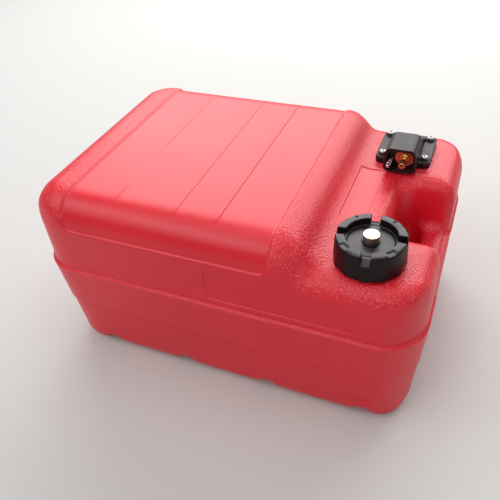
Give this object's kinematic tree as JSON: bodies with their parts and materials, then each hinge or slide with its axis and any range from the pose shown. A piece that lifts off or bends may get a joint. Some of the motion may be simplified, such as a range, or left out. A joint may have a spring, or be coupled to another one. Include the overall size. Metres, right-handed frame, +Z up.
{
  "type": "outboard fuel tank",
  "caption": "Moulded portable fuel tank with a stepped top, a handle bar in its front pocket, a vented screw cap and a hooded fuel withdrawal connector.",
  "frame": {"origin": "on the floor, under the middle of the tank", "axes": "+X along the tank to the end with the cap, +Y to the side with the fuel connector, +Z up"},
  "size_m": [0.5, 0.348, 0.258],
  "materials": {
    "red_polyethylene": "moulded red polyethylene, fine leather grain on the rounded areas",
    "black_nylon": "black moulded nylon, satin",
    "black_rubber": "matt black nitrile rubber",
    "white_polyethylene": "natural white polyethylene",
    "red_nylon": "orange-red moulded nylon",
    "brass": "turned brass",
    "bright_steel": "bright stainless steel"
  },
  "bodies": {
    "tank": {"tank_body": "red_polyethylene", "fitting_housing": "black_nylon", "fitting_gasket": "black_rubber", "fitting_screw_1": "bright_steel", "fitting_screw_2": "bright_steel", "fitting_screw_3": "bright_steel", "fitting_screw_4": "bright_steel", "screw_insert_1": "brass", "screw_insert_2": "brass", "screw_insert_3": "brass", "screw_insert_4": "brass", "connector_disc": "red_nylon", "fuel_nipple": "brass", "nipple_o_ring": "black_rubber", "nipple_spring": "bright_steel", "guide_pin": "bright_steel", "pickup_tube": "white_polyethylene", "pickup_strainer": "white_polyethylene"},
    "seal_pack": {"cap_gasket": "black_rubber", "cap_liner": "white_polyethylene"},
    "cap": {"cap_shell": "black_nylon", "vent_bush": "black_nylon"},
    "vent_packing": {"vent_seal": "black_rubber"},
    "vent": {"vent_knob": "brass", "vent_clip": "bright_steel"},
    "check_valve": {"nipple_poppet": "bright_steel"}
  },
  "joints": [
    {"name": "cap_rise", "type": "slide", "parent": "tank", "child": "seal_pack", "axis": [0, 0, 1], "range_m": [0, 0.0201]},
    {"name": "cap_turn", "type": "hinge", "parent": "seal_pack", "child": "cap", "pos_m": [0.176, -0.117, 0.222], "axis": [0, 0, 1], "range_deg": [0, 900]},
    {"name": "vent_rise", "type": "slide", "parent": "cap", "child": "vent_packing", "axis": [0, 0, 1], "range_m": [0, 0.00201]},
    {"name": "vent_turn", "type": "hinge", "parent": "vent_packing", "child": "vent", "pos_m": [0.176, -0.117, 0.222], "axis": [0, 0, 1], "range_deg": [0, 720]},
    {"name": "valve_push", "type": "slide", "parent": "tank", "child": "check_valve", "axis": [0, 1, 0], "range_m": [0, 0.0025], "stiffness_N_per_m": 300, "springref_m": -0.002, "deforming": ["nipple_spring"]}
  ],
  "couplings": [
    {"joint": "cap_rise", "follows": "cap_turn", "m_per_rad": 0.0012732},
    {"joint": "vent_rise", "follows": "vent_turn", "m_per_rad": 0.00015915}
  ]
}
